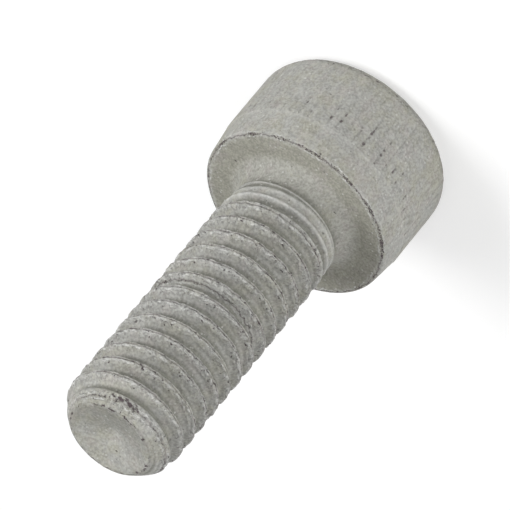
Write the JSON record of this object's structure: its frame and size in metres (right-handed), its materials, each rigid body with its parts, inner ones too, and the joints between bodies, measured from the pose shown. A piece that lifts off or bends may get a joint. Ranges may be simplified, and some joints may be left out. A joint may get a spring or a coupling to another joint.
{
  "type": "hex socket head cap screw",
  "caption": "Cap screw with a knurled round head, a hexagon socket and a right-hand thread up to the head, in matte grey flake coating.",
  "frame": {"origin": "centre of the head's top face, where the hexagon socket opens; the screw stands on this face", "axes": "+Z along the screw's axis from the head to the tip; +X through one corner of the hexagon"},
  "size_m": [0.0098, 0.0098, 0.0218],
  "materials": {
    "flake_coated_steel": "matte grey metal-flake coating with fine grain, chipped dark on the thread crests and the bearing rim"
  },
  "bodies": {
    "root": {"cap_screw": "flake_coated_steel"}
  },
  "joints": []
}
